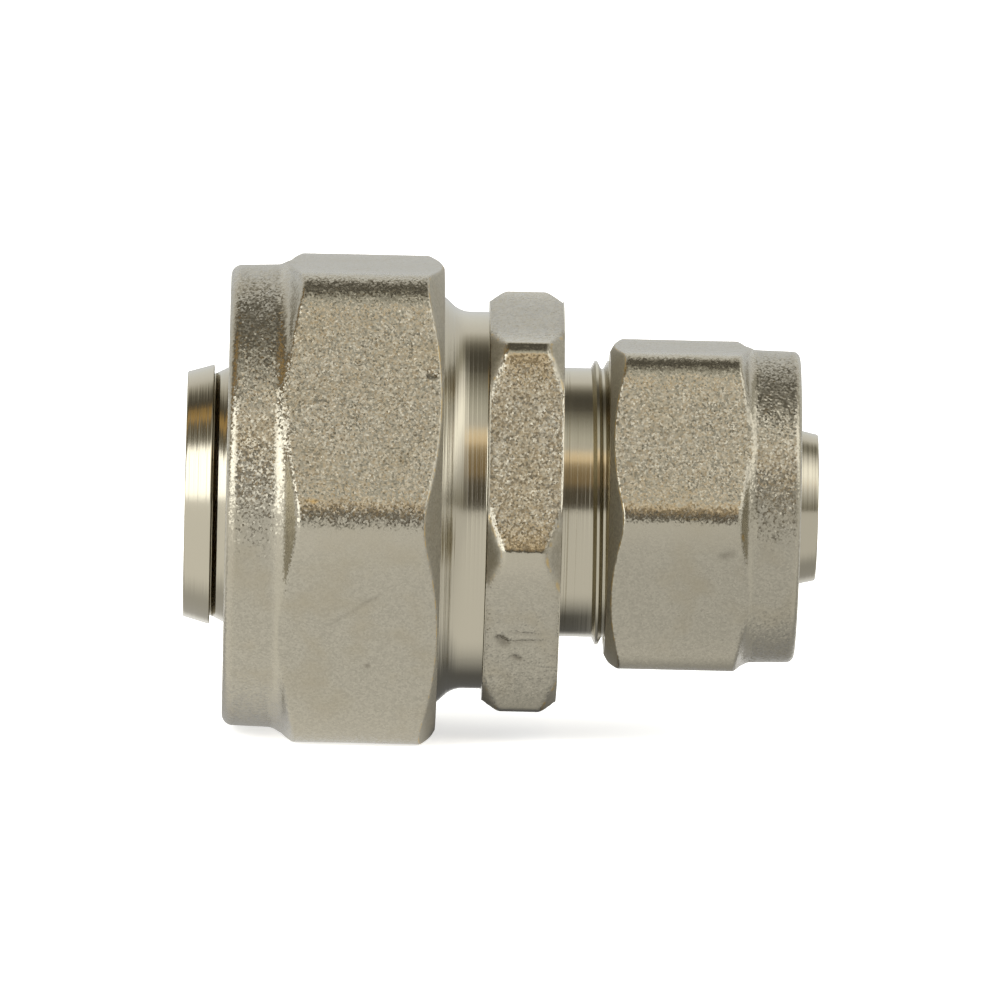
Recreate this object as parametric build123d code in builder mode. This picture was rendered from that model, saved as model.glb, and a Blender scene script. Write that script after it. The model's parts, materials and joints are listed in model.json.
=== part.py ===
from build123d import *
import os
from dataclasses import dataclass
from math import cos, radians, sin, tan

# Reducing compression coupling for multilayer pipe, in millimetres.
# The waterway runs along X: the large end points to -X and the small end to +X.
# The origin is on the waterway's axis, halfway along the coupling.

# Hexagon in the middle of the body
hex_across_flats = 30.0
hex_width = 5.85
hex_turn = 9.0
hex_corner_radius = 1.5
hex_chamfer_angle = 42.0
hex_face_rise = 0.8

# Fits and angles that both ends share
thread_clearance = 0.15
seat_clearance = 0.15
pipe_clearance = 0.2
ring_bore_clearance = 0.1
seal_clearance = 0.02
washer_clearance = 0.1
runout_angle = 42.0
mouth_angle = 30.0
nut_seat_angle = 45.0
nut_chamfer_angle = 28.0
nut_blend_angle = 64.0
nut_end_room = 0.5
groove_width_factor = 1.2
barb_count = 3

# Large end, for 26 x 3 pipe
large_pipe_od = 26.0
large_pipe_wall = 3.0
large_socket_floor = 2.2
large_washer_thickness = 1.2
large_neck_length = 1.5
large_runout_radius = 2.0
large_runout_depth = 1.65
large_barrel_length = 14.0
large_barrel_wall = 3.3
large_barrel_chamfer = 0.8
large_mouth_rise = 1.4
large_groove_wall = 0.77
large_seal_section = 1.78
large_seal_proud = 0.3
large_seal_spacing = 2.0
large_grip_length = 4.0
large_barb_pitch = 1.5
large_barb_rise = 0.25
large_barb_depth = 0.75
large_nose_length = 2.12
large_nose_drop = 0.6
large_spigot_proud = 3.25
large_ring_rise = 0.6
large_ring_lip = 0.3
large_ring_slit = 1.6
large_ring_groove = 0.35
large_nut_gap = 3.6
large_nut_wall = 1.85
large_nut_end_wall = 2.45
large_nut_countersink = 0.6
large_nut_corner_radius = 4.5
large_nut_face_inset = 0.3
large_collar_length = 3.56
large_collar_drop = 0.25
large_collar_blend = 1.4
large_rim_radius = 0.9
large_hole_chamfer = 0.5

# Small end, for 16 x 2 pipe
small_pipe_od = 16.0
small_pipe_wall = 2.0
small_socket_floor = 1.6
small_washer_thickness = 1.0
small_neck_length = 1.95
small_runout_radius = 0.4
small_runout_depth = 0.6
small_barrel_length = 12.2
small_barrel_wall = 3.0
small_barrel_chamfer = 0.6
small_mouth_rise = 1.2
small_groove_wall = 0.9
small_seal_section = 1.2
small_seal_proud = 0.2
small_seal_spacing = 1.5
small_grip_length = 3.5
small_barb_pitch = 1.2
small_barb_rise = 0.12
small_barb_depth = 0.5
small_nose_length = 1.65
small_nose_drop = 0.37
small_spigot_proud = 1.55
small_ring_rise = 0.7
small_ring_lip = 0.3
small_ring_slit = 1.2
small_ring_groove = 0.25
small_nut_gap = 3.7
small_nut_wall = 1.15
small_nut_end_wall = 2.85
small_nut_countersink = 0.3
small_nut_corner_radius = 3.2
small_nut_face_inset = 0.6
small_collar_length = 3.39
small_collar_drop = 0.15
small_collar_blend = 1.0
small_rim_radius = 0.6
small_hole_chamfer = 0.4


@dataclass
class End:
    """One end of the coupling. Lengths run outward from the body hexagon's face on that side."""

    name: str
    side: int
    pipe_od: float
    pipe_wall: float
    socket_floor: float
    washer_thickness: float
    neck_length: float
    runout_radius: float
    runout_depth: float
    barrel_length: float
    barrel_wall: float
    barrel_chamfer: float
    mouth_rise: float
    groove_wall: float
    seal_section: float
    seal_proud: float
    seal_spacing: float
    grip_length: float
    barb_pitch: float
    barb_rise: float
    barb_depth: float
    nose_length: float
    nose_drop: float
    spigot_proud: float
    ring_rise: float
    ring_lip: float
    ring_slit: float
    ring_groove: float
    nut_gap: float
    nut_wall: float
    nut_end_wall: float
    nut_countersink: float
    nut_corner_radius: float
    nut_face_inset: float
    collar_length: float
    collar_drop: float
    collar_blend: float
    rim_radius: float
    hole_chamfer: float
    face: float = 0.0

    def __post_init__(self):
        # Spigot that the pipe is pushed over
        self.land_r = self.pipe_od / 2 - self.pipe_wall
        self.crest_r = self.land_r + self.barb_rise
        self.root_r = self.crest_r - self.barb_depth
        self.tip_r = self.crest_r - self.nose_drop
        self.groove_r = self.land_r + self.seal_proud - self.seal_section
        self.groove_width = self.seal_section * groove_width_factor
        self.waterway_r = self.groove_r - self.groove_wall
        # Threaded barrel around it
        self.socket_r = self.pipe_od / 2 + pipe_clearance
        self.thread_r = self.socket_r + self.barrel_wall
        self.neck_r = self.thread_r - self.runout_depth
        self.mouth_r = self.socket_r + self.mouth_rise
        # Nut that screws over the barrel
        self.bore_r = self.thread_r + thread_clearance
        self.apothem = self.bore_r + self.nut_wall
        self.collar_r = self.apothem - self.collar_drop
        self.hole_r = self.socket_r
        self.bore_end = self.barrel_length - self.nut_gap + nut_end_room
        self.seat_end = self.bore_end + (self.bore_r - self.hole_r) / tan(radians(nut_seat_angle))
        self.nut_length = self.seat_end + self.nut_end_wall
        self.nut_face = self.nut_gap + self.nut_length
        self.tip = self.nut_face + self.spigot_proud
        # Places along the spigot, from its tip inward
        self.first_crest = self.tip - self.nose_length
        self.grip_end = self.first_crest - (barb_count - 1) * self.barb_pitch
        self.front_groove = self.grip_end - self.grip_length - self.groove_width
        self.rear_groove = self.front_groove - self.seal_spacing - self.groove_width

    def place(self, x: float) -> tuple:
        """Point on the waterway's axis at x outward from the hexagon's face."""
        return (self.face + self.side * x, 0, 0)

    def section_plane(self, x: float = 0.0) -> Plane:
        """Half-section plane from x: its local x points outward and its local y is the radius."""
        return Plane(origin=self.place(x), x_dir=(self.side, 0, 0), z_dir=(0, -self.side, 0))

    def cross_plane(self, x: float) -> Plane:
        """Plane across the waterway at x outward from the hexagon's face."""
        return Plane(origin=self.place(x), x_dir=(0, 1, 0), z_dir=(self.side, 0, 0))

    def draw_body_section(self):
        """Draw the half-section of neck, barrel, pipe socket and barbed spigot in the open BuildLine."""
        runout = radians(runout_angle)
        runout_x = self.neck_length + self.runout_radius * sin(runout)
        runout_r = self.neck_r + self.runout_radius * (1 - cos(runout))
        thread_start = runout_x + (self.thread_r - runout_r) / tan(runout)
        mouth_depth = self.mouth_rise / tan(radians(mouth_angle))
        neck_end = (self.neck_length, self.neck_r)
        Polyline((0, 0), (0, self.neck_r), neck_end)
        JernArc(neck_end, tangent=(1, 0), radius=self.runout_radius, arc_size=runout_angle)
        points = [(runout_x, runout_r)]
        points += [(thread_start, self.thread_r), (self.barrel_length - self.barrel_chamfer, self.thread_r)]
        points += [(self.barrel_length, self.thread_r - self.barrel_chamfer)]
        points += [(self.barrel_length, self.mouth_r)]
        points += [(self.barrel_length - mouth_depth, self.socket_r), (self.socket_floor, self.socket_r)]
        points += [(self.socket_floor, self.land_r)]
        for start in (self.rear_groove, self.front_groove):
            end = start + self.groove_width
            points += [(start, self.land_r), (start, self.groove_r), (end, self.groove_r), (end, self.land_r)]
        points += [(self.grip_end, self.land_r), (self.grip_end, self.crest_r)]
        for barb in range(1, barb_count):
            crest = self.grip_end + barb * self.barb_pitch
            points += [(crest, self.root_r), (crest, self.crest_r)]
        points += [(self.tip, self.tip_r), (self.tip, 0)]
        Polyline(*points, (0, 0))


large = End(
    name="large",
    side=-1,
    pipe_od=large_pipe_od,
    pipe_wall=large_pipe_wall,
    socket_floor=large_socket_floor,
    washer_thickness=large_washer_thickness,
    neck_length=large_neck_length,
    runout_radius=large_runout_radius,
    runout_depth=large_runout_depth,
    barrel_length=large_barrel_length,
    barrel_wall=large_barrel_wall,
    barrel_chamfer=large_barrel_chamfer,
    mouth_rise=large_mouth_rise,
    groove_wall=large_groove_wall,
    seal_section=large_seal_section,
    seal_proud=large_seal_proud,
    seal_spacing=large_seal_spacing,
    grip_length=large_grip_length,
    barb_pitch=large_barb_pitch,
    barb_rise=large_barb_rise,
    barb_depth=large_barb_depth,
    nose_length=large_nose_length,
    nose_drop=large_nose_drop,
    spigot_proud=large_spigot_proud,
    ring_rise=large_ring_rise,
    ring_lip=large_ring_lip,
    ring_slit=large_ring_slit,
    ring_groove=large_ring_groove,
    nut_gap=large_nut_gap,
    nut_wall=large_nut_wall,
    nut_end_wall=large_nut_end_wall,
    nut_countersink=large_nut_countersink,
    nut_corner_radius=large_nut_corner_radius,
    nut_face_inset=large_nut_face_inset,
    collar_length=large_collar_length,
    collar_drop=large_collar_drop,
    collar_blend=large_collar_blend,
    rim_radius=large_rim_radius,
    hole_chamfer=large_hole_chamfer,
)

small = End(
    name="small",
    side=1,
    pipe_od=small_pipe_od,
    pipe_wall=small_pipe_wall,
    socket_floor=small_socket_floor,
    washer_thickness=small_washer_thickness,
    neck_length=small_neck_length,
    runout_radius=small_runout_radius,
    runout_depth=small_runout_depth,
    barrel_length=small_barrel_length,
    barrel_wall=small_barrel_wall,
    barrel_chamfer=small_barrel_chamfer,
    mouth_rise=small_mouth_rise,
    groove_wall=small_groove_wall,
    seal_section=small_seal_section,
    seal_proud=small_seal_proud,
    seal_spacing=small_seal_spacing,
    grip_length=small_grip_length,
    barb_pitch=small_barb_pitch,
    barb_rise=small_barb_rise,
    barb_depth=small_barb_depth,
    nose_length=small_nose_length,
    nose_drop=small_nose_drop,
    spigot_proud=small_spigot_proud,
    ring_rise=small_ring_rise,
    ring_lip=small_ring_lip,
    ring_slit=small_ring_slit,
    ring_groove=small_ring_groove,
    nut_gap=small_nut_gap,
    nut_wall=small_nut_wall,
    nut_end_wall=small_nut_end_wall,
    nut_countersink=small_nut_countersink,
    nut_corner_radius=small_nut_corner_radius,
    nut_face_inset=small_nut_face_inset,
    collar_length=small_collar_length,
    collar_drop=small_collar_drop,
    collar_blend=small_collar_blend,
    rim_radius=small_rim_radius,
    hole_chamfer=small_hole_chamfer,
)

# The coupling is centred on the origin, tip to tip
overall_length = large.tip + hex_width + small.tip
large.face = large.tip - overall_length / 2
small.face = large.face + hex_width


def write_part(builder: BuildPart, label: str):
    """Label a finished piece and write it to its own file."""
    builder.part.label = label
    export_step(builder.part, f"parts/{label}.step")


def make_body():
    """One forged and turned piece: hexagon, two threaded barrels and two barbed spigots on one waterway."""
    apothem = hex_across_flats / 2
    outside_r = apothem / cos(radians(30))
    face_r = apothem + hex_face_rise
    chamfer_depth = (outside_r - face_r) * tan(radians(hex_chamfer_angle))
    shoulder = large.waterway_r - small.waterway_r
    with BuildPart() as body:
        with BuildSketch(small.cross_plane(-hex_width)) as hexagon:
            RegularPolygon(radius=apothem, side_count=6, major_radius=False, rotation=hex_turn)
            fillet(hexagon.vertices(), radius=hex_corner_radius)
        extrude(amount=hex_width)
        # Cones that chamfer the hexagon's corners on both sides
        with BuildSketch(small.section_plane()):
            with BuildLine():
                Polyline(
                    (-hex_width, 0),
                    (-hex_width, face_r),
                    (chamfer_depth - hex_width, outside_r),
                    (-chamfer_depth, outside_r),
                    (0, face_r),
                    (0, 0),
                    close=True,
                )
            make_face()
        revolve(axis=Axis.X, mode=Mode.INTERSECT)
        for end in (large, small):
            with BuildSketch(end.section_plane()):
                with BuildLine():
                    end.draw_body_section()
                make_face()
            revolve(axis=Axis.X)
        # Waterway, with a cone in the hexagon where it narrows
        with BuildSketch(small.section_plane()):
            with BuildLine():
                Polyline(
                    (-hex_width - large.tip, 0),
                    (-hex_width - large.tip, large.waterway_r),
                    (-hex_width, large.waterway_r),
                    (shoulder - hex_width, small.waterway_r),
                    (small.tip, small.waterway_r),
                    (small.tip, 0),
                    close=True,
                )
            make_face()
        revolve(axis=Axis.X, mode=Mode.SUBTRACT)
    write_part(body, "body")


def make_nut(end: End):
    """Forged union nut: hexagon with a conical chamfer, blended into a round collar at the pipe side."""
    length = end.nut_length
    outside_r = end.apothem / cos(radians(30))
    face_r = end.apothem - end.nut_face_inset
    chamfer_depth = (outside_r - face_r) * tan(radians(nut_chamfer_angle))
    collar_start = length - end.collar_length
    blend = radians(nut_blend_angle)
    blend_x = collar_start - end.collar_blend * sin(blend)
    blend_r = end.collar_r + end.collar_blend * (1 - cos(blend))
    blend_top = blend_x - (outside_r - blend_r) / tan(blend)
    half_blend = (
        collar_start - end.collar_blend * sin(blend / 2),
        end.collar_r + end.collar_blend * (1 - cos(blend / 2)),
    )
    rim = end.rim_radius
    rim_middle = (length - rim + rim * sin(radians(45)), end.collar_r - rim + rim * cos(radians(45)))
    section = end.section_plane(end.nut_gap)
    with BuildPart() as nut:
        with BuildSketch(end.cross_plane(end.nut_gap)) as hexagon:
            RegularPolygon(radius=end.apothem, side_count=6, major_radius=False)
            fillet(hexagon.vertices(), radius=end.nut_corner_radius)
        extrude(amount=length)
        # Turned outline that the hexagon is trimmed to
        with BuildSketch(section):
            with BuildLine():
                Polyline((0, 0), (0, face_r), (chamfer_depth, outside_r), (blend_top, outside_r))
                Line((blend_top, outside_r), (blend_x, blend_r))
                ThreePointArc((blend_x, blend_r), half_blend, (collar_start, end.collar_r))
                Line((collar_start, end.collar_r), (length - rim, end.collar_r))
                ThreePointArc((length - rim, end.collar_r), rim_middle, (length, end.collar_r - rim))
                Polyline((length, end.collar_r - rim), (length, 0), (0, 0))
            make_face()
        revolve(axis=Axis.X, mode=Mode.INTERSECT)
        # Threaded bore, conical seat for the split ring and hole for the pipe
        with BuildSketch(section):
            with BuildLine():
                Polyline(
                    (0, 0),
                    (0, end.bore_r + end.nut_countersink),
                    (end.nut_countersink, end.bore_r),
                    (end.bore_end, end.bore_r),
                    (end.seat_end, end.hole_r),
                    (length - end.hole_chamfer, end.hole_r),
                    (length, end.hole_r + end.hole_chamfer),
                    (length, 0),
                    close=True,
                )
            make_face()
        revolve(axis=Axis.X, mode=Mode.SUBTRACT)
    write_part(nut, f"{end.name}_nut")


def make_split_ring(end: End):
    """Slit double-cone ring that the nut presses onto the pipe, grooved inside for grip."""
    bore_r = end.pipe_od / 2 + ring_bore_clearance
    top_r = end.mouth_r + end.ring_rise
    lip_r = bore_r + end.ring_lip
    inner_slope = 1 / tan(radians(mouth_angle))
    outer_slope = 1 / tan(radians(nut_seat_angle))
    cone_r = end.mouth_r - seat_clearance
    inner_end = end.barrel_length - (cone_r - lip_r) * inner_slope
    inner_top = end.barrel_length + (top_r - cone_r) * inner_slope
    outer_top = end.nut_gap + end.bore_end + (end.bore_r - top_r) * outer_slope - seat_clearance
    outer_end = outer_top + (top_r - lip_r) * outer_slope
    groove = end.ring_groove
    groove_pitch = 3 * groove
    groove_start = inner_end + groove_pitch
    groove_count = int((outer_end - inner_end) / groove_pitch) - 1
    middle = end.face + end.side * (inner_end + outer_end) / 2
    with BuildPart() as ring:
        with BuildSketch(end.section_plane()):
            with BuildLine():
                Polyline(
                    (inner_end, bore_r),
                    (inner_end, lip_r),
                    (inner_top, top_r),
                    (outer_top, top_r),
                    (outer_end, lip_r),
                    (outer_end, bore_r),
                    close=True,
                )
            make_face()
            # Grip grooves cut into the bore
            for turn in range(groove_count):
                start = groove_start + turn * groove_pitch
                with BuildLine():
                    Polyline(
                        (start - groove, bore_r),
                        (start, bore_r + groove),
                        (start + groove, bore_r),
                        close=True,
                    )
                make_face(mode=Mode.SUBTRACT)
        revolve(axis=Axis.X)
        # Slit that lets the ring close onto the pipe
        with BuildSketch(Plane.XY):
            with Locations((middle, 0)):
                Rectangle(outer_end, end.ring_slit)
        extrude(amount=2 * top_r, mode=Mode.SUBTRACT)
    write_part(ring, f"{end.name}_split_ring")


def make_o_ring(end: End, place: str, groove_start: float):
    """Seal lying in one of the spigot's two grooves."""
    section_r = end.seal_section / 2
    with BuildPart() as o_ring:
        with BuildSketch(end.section_plane()):
            with Locations((groove_start + end.groove_width / 2, end.groove_r + section_r + seal_clearance)):
                Circle(section_r)
        revolve(axis=Axis.X)
    write_part(o_ring, f"{end.name}_{place}_o_ring")


def make_washer(end: End):
    """Insulating washer on the socket's floor, which keeps the pipe's metal layer off the body."""
    inner_r = end.land_r + washer_clearance
    outer_r = end.socket_r - washer_clearance
    with BuildPart() as washer:
        with BuildSketch(end.cross_plane(end.socket_floor)):
            Circle(outer_r)
            Circle(inner_r, mode=Mode.SUBTRACT)
        extrude(amount=end.washer_thickness)
    write_part(washer, f"{end.name}_insulating_washer")


os.makedirs("parts", exist_ok=True)
make_body()
for coupling_end in (large, small):
    make_nut(coupling_end)
    make_split_ring(coupling_end)
    make_o_ring(coupling_end, "front", coupling_end.front_groove)
    make_o_ring(coupling_end, "rear", coupling_end.rear_groove)
    make_washer(coupling_end)
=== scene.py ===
"""Reducing compression coupling in nickel-plated brass, dressed and lit as in its photograph.

Sizes are in millimetres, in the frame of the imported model: the waterway runs along X, with the large end
at -X and the small end at +X. Meshes are written in metres.
"""
import json
import logging
import math
from dataclasses import dataclass
from enum import Enum
from functools import cache

import bpy
import numpy as np
from mathutils import Matrix, Vector, noise

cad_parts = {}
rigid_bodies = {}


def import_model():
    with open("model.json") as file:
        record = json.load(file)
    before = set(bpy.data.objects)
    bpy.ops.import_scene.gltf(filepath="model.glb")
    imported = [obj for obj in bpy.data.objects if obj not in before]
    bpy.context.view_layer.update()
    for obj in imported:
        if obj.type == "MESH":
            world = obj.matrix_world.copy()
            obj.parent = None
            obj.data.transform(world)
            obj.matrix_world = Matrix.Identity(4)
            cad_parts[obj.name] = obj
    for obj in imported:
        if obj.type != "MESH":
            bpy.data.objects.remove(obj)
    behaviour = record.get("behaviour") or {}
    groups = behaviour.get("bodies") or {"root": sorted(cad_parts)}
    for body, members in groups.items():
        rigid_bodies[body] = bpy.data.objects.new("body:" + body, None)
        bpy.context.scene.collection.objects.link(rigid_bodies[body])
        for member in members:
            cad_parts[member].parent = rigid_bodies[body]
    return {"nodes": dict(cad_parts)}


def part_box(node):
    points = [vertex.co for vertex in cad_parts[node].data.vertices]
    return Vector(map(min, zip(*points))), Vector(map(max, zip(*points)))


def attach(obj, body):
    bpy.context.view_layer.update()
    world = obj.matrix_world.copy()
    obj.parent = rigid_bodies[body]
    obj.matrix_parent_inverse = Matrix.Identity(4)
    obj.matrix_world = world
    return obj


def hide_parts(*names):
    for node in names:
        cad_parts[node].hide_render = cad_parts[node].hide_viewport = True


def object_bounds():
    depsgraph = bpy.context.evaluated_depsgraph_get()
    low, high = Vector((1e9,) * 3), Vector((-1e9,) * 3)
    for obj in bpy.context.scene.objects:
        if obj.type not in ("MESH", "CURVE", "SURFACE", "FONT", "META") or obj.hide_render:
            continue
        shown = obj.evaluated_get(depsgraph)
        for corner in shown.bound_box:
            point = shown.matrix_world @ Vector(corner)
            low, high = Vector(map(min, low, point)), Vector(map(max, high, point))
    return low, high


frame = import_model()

MM = 0.001
CAD_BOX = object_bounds()
LOG = logging.getLogger("coupling")

Point = tuple[float, float]


class Slot(Enum):
    """Material slots of the record."""

    PLATED = "nickel_plated_brass"
    BRASS = "bare_brass"
    RUBBER = "epdm_rubber"
    PTFE = "ptfe"


class Side(Enum):
    """Which way an end of the coupling points along X."""

    LARGE = -1
    SMALL = 1


class Corner(Enum):
    """How the corners of a hexagon are broken."""

    ROUND = "round"
    FLAT = "flat"


@cache
def node_box(node: str) -> tuple[tuple[float, float, float], tuple[float, float, float]]:
    """Corners of a CAD node's box, in millimetres.

    Args:
        node: Name of the node.

    Returns:
        The low corner and the high corner.
    """
    low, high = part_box(node)
    return tuple(v / MM for v in low), tuple(v / MM for v in high)


def linear(colour: str) -> tuple[float, float, float, float]:
    """Turns an sRGB hex colour to linear.

    Args:
        colour: Hex colour such as "#B2AA97".

    Returns:
        Linear red, green, blue and an alpha of 1.
    """
    shares = [int(colour[i:i + 2], 16) / 255 for i in (1, 3, 5)]
    return *[s / 12.92 if s <= 0.04045 else ((s + 0.055) / 1.055) ** 2.4 for s in shares], 1.0


def add_node(tree: bpy.types.NodeTree, kind: str, inputs: dict | None = None, **settings) -> bpy.types.Node:
    """Adds a node with its settings, values and links.

    Args:
        tree: Node tree that gets the node.
        kind: Blender's name for the node's type.
        inputs: A value, or an output socket to link, for each input by name or index.
        settings: The node's own properties.

    Returns:
        The new node.
    """
    node = tree.nodes.new(kind)
    for key, value in settings.items():
        setattr(node, key, value)
    for key, value in (inputs or {}).items():
        if isinstance(value, bpy.types.NodeSocket):
            tree.links.new(value, node.inputs[key])
        else:
            node.inputs[key].default_value = value
    return node


def new_material(name: str) -> tuple[bpy.types.Material, bpy.types.NodeTree]:
    """Makes an empty node material.

    Args:
        name: The material's name.

    Returns:
        The material and its cleared node tree.
    """
    material = bpy.data.materials.new(name)
    material.use_nodes = True
    material.node_tree.nodes.clear()
    return material, material.node_tree


@dataclass(frozen=True)
class NickelPlate:
    """Nickel plate over forged brass.

    The forged faces were tumbled before plating, which leaves fine pits that glitter where the light changes
    and look smooth under an even white. The turned faces are brighter, with feed lines round the axis. The
    plate is thin on sharp edges, where the brass shows. The mesh says which face is which: its attribute
    "turned" is 1 on turned faces, 0 on tumbled ones, between them on polished edges and below 0 on dull
    chamfers. "worn" is 1 at rubbed places. In a knock a third attribute is 1, and there a dark brown is
    painted in: painted shade in the hollow, together with grime.
    """

    name: str = "nickel_plate_on_forged_brass"
    turned_plate: str = "#BBB4A0"
    tumbled_plate: str = "#ABA594"
    stain: str = "#A59B83"
    brass: str = "#BEA674"
    # Dark brown painted into knocks: painted shade in the hollow, together with grime
    knock_shade_and_grime: str = "#4A4032"
    pit_mm: float = 0.4
    pit_height_mm: float = 0.02
    grain_mm: float = 0.14
    grain_tilt: float = 0.19
    grain_shade: float = 0.13
    line_mm: float = 0.24
    line_height_mm: float = 0.03
    stain_mm: float = 4.0
    wear_mm: float = 0.8
    tumbled_roughness: float = 0.29
    turned_roughness: float = 0.17

    def material(self) -> bpy.types.Material:
        """Builds the plate's material."""
        material, tree = new_material(self.name)
        place = add_node(tree, "ShaderNodeMapping", {
            "Vector": add_node(tree, "ShaderNodeTexCoord").outputs["Object"],
            "Scale": (1 / MM, 1 / MM, 1 / MM),
        }).outputs["Vector"]
        turned = add_node(tree, "ShaderNodeAttribute", attribute_name="turned").outputs["Fac"]
        worn = add_node(tree, "ShaderNodeAttribute", attribute_name="worn").outputs["Fac"]
        # 1 in a knock, where painted shade and grime go
        knock_shade_and_grime = add_node(tree, "ShaderNodeAttribute", attribute_name="knock_shade_and_grime").outputs["Fac"]

        # Pits of the tumbled faces, and grains in them that each lean their own way
        smooth = add_node(tree, "ShaderNodeMath", {0: turned}, operation="ABSOLUTE").outputs[0]
        forged = add_node(tree, "ShaderNodeMath", {0: 1.0, 1: smooth}, operation="SUBTRACT", use_clamp=True).outputs[0]
        pits = add_node(tree, "ShaderNodeTexNoise", {"Vector": place, "Scale": 1 / self.pit_mm, "Detail": 1.0})
        tumbled = add_node(tree, "ShaderNodeBump", {
            "Height": pits.outputs["Fac"], "Strength": forged, "Distance": self.pit_height_mm * MM,
        })
        grains = add_node(tree, "ShaderNodeTexVoronoi", {"Vector": place, "Scale": 1 / self.grain_mm})
        lean = add_node(tree, "ShaderNodeVectorMath", {
            0: grains.outputs["Color"], 1: (0.5, 0.5, 0.5),
        }, operation="SUBTRACT")
        tilt = add_node(tree, "ShaderNodeMath", {0: forged, 1: 2 * self.grain_tilt}, operation="MULTIPLY")
        leaning = add_node(tree, "ShaderNodeVectorMath", {
            0: lean.outputs["Vector"],
            1: add_node(tree, "ShaderNodeCombineXYZ", dict.fromkeys("XYZ", tilt.outputs[0])).outputs["Vector"],
            2: tumbled.outputs["Normal"],
        }, operation="MULTIPLY_ADD")
        grainy = add_node(tree, "ShaderNodeVectorMath", {0: leaning.outputs["Vector"]}, operation="NORMALIZE")

        # Feed lines of the turned faces: they depend on the place along the axis and on the radius alone
        along = add_node(tree, "ShaderNodeSeparateXYZ", {"Vector": place})
        radius = add_node(tree, "ShaderNodeMath", {
            0: add_node(tree, "ShaderNodeMath", {0: along.outputs["Y"], 1: along.outputs["Y"]},
                        operation="MULTIPLY").outputs[0],
            1: add_node(tree, "ShaderNodeMath", {0: along.outputs["Z"], 1: along.outputs["Z"]},
                        operation="MULTIPLY").outputs[0],
        }, operation="ADD")
        section = add_node(tree, "ShaderNodeCombineXYZ", {
            "X": along.outputs["X"],
            "Y": add_node(tree, "ShaderNodeMath", {0: radius.outputs[0]}, operation="SQRT").outputs[0],
        })
        lines = add_node(tree, "ShaderNodeTexNoise", {
            "Vector": section.outputs["Vector"], "Scale": 1 / self.line_mm, "Detail": 2.0,
        }, noise_dimensions="2D")
        cut = add_node(tree, "ShaderNodeMapRange", {"Value": turned, "From Min": 0.75})
        normal = add_node(tree, "ShaderNodeBump", {
            "Height": lines.outputs["Fac"],
            "Strength": cut.outputs["Result"],
            "Distance": self.line_height_mm * MM,
            "Normal": grainy.outputs["Vector"],
        })

        # Grains of slightly unlike shade, faint stains, and brass where the plate has rubbed off
        shade = add_node(tree, "ShaderNodeMapRange", {
            "Value": add_node(tree, "ShaderNodeSeparateXYZ", {"Vector": grains.outputs["Color"]}).outputs["X"],
            "To Min": 1 - self.grain_shade, "To Max": 1 + self.grain_shade,
        })
        stains = add_node(tree, "ShaderNodeTexNoise", {"Vector": place, "Scale": 1 / self.stain_mm, "Detail": 3.0})
        stained = add_node(tree, "ShaderNodeMapRange", {
            "Value": stains.outputs["Fac"], "From Min": 0.5, "From Max": 0.8, "To Max": 0.7,
        })
        speckled = add_node(tree, "ShaderNodeVectorMath", {
            0: linear(self.tumbled_plate)[:3],
            1: add_node(tree, "ShaderNodeCombineXYZ", dict.fromkeys("XYZ", shade.outputs[0])).outputs["Vector"],
        }, operation="MULTIPLY")
        tumbled_colour = add_node(tree, "ShaderNodeMix", {
            "Factor": stained.outputs["Result"], 6: speckled.outputs["Vector"], 7: linear(self.stain),
        }, data_type="RGBA")
        plate = add_node(tree, "ShaderNodeMix", {
            "Factor": turned, 6: tumbled_colour.outputs[2], 7: linear(self.turned_plate),
        }, data_type="RGBA")
        patches = add_node(tree, "ShaderNodeTexNoise", {"Vector": place, "Scale": 1 / self.wear_mm, "Detail": 2.0})
        bare = add_node(tree, "ShaderNodeMapRange", {
            "Value": add_node(tree, "ShaderNodeMath", {0: worn, 1: patches.outputs["Fac"]},
                              operation="MULTIPLY").outputs[0],
            "From Min": 0.3, "From Max": 0.5,
        })
        metal = add_node(tree, "ShaderNodeMix", {
            "Factor": bare.outputs["Result"], 6: plate.outputs[2], 7: linear(self.brass),
        }, data_type="RGBA")
        # Painted shade in knocks, with grime: the colour turns dark brown where the mesh marks a knock
        colour = add_node(tree, "ShaderNodeMix", {
            "Factor": knock_shade_and_grime, 6: metal.outputs[2], 7: linear(self.knock_shade_and_grime),
        }, data_type="RGBA")
        roughness = add_node(tree, "ShaderNodeMapRange", {
            "Value": turned, "To Min": self.tumbled_roughness, "To Max": self.turned_roughness,
        }, clamp=False)
        shader = add_node(tree, "ShaderNodeBsdfPrincipled", {
            "Base Color": colour.outputs[2],
            "Metallic": 1.0,
            "Roughness": roughness.outputs["Result"],
            "Normal": normal.outputs["Normal"],
        })
        add_node(tree, "ShaderNodeOutputMaterial", {"Surface": shader.outputs["BSDF"]})
        return material


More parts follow.
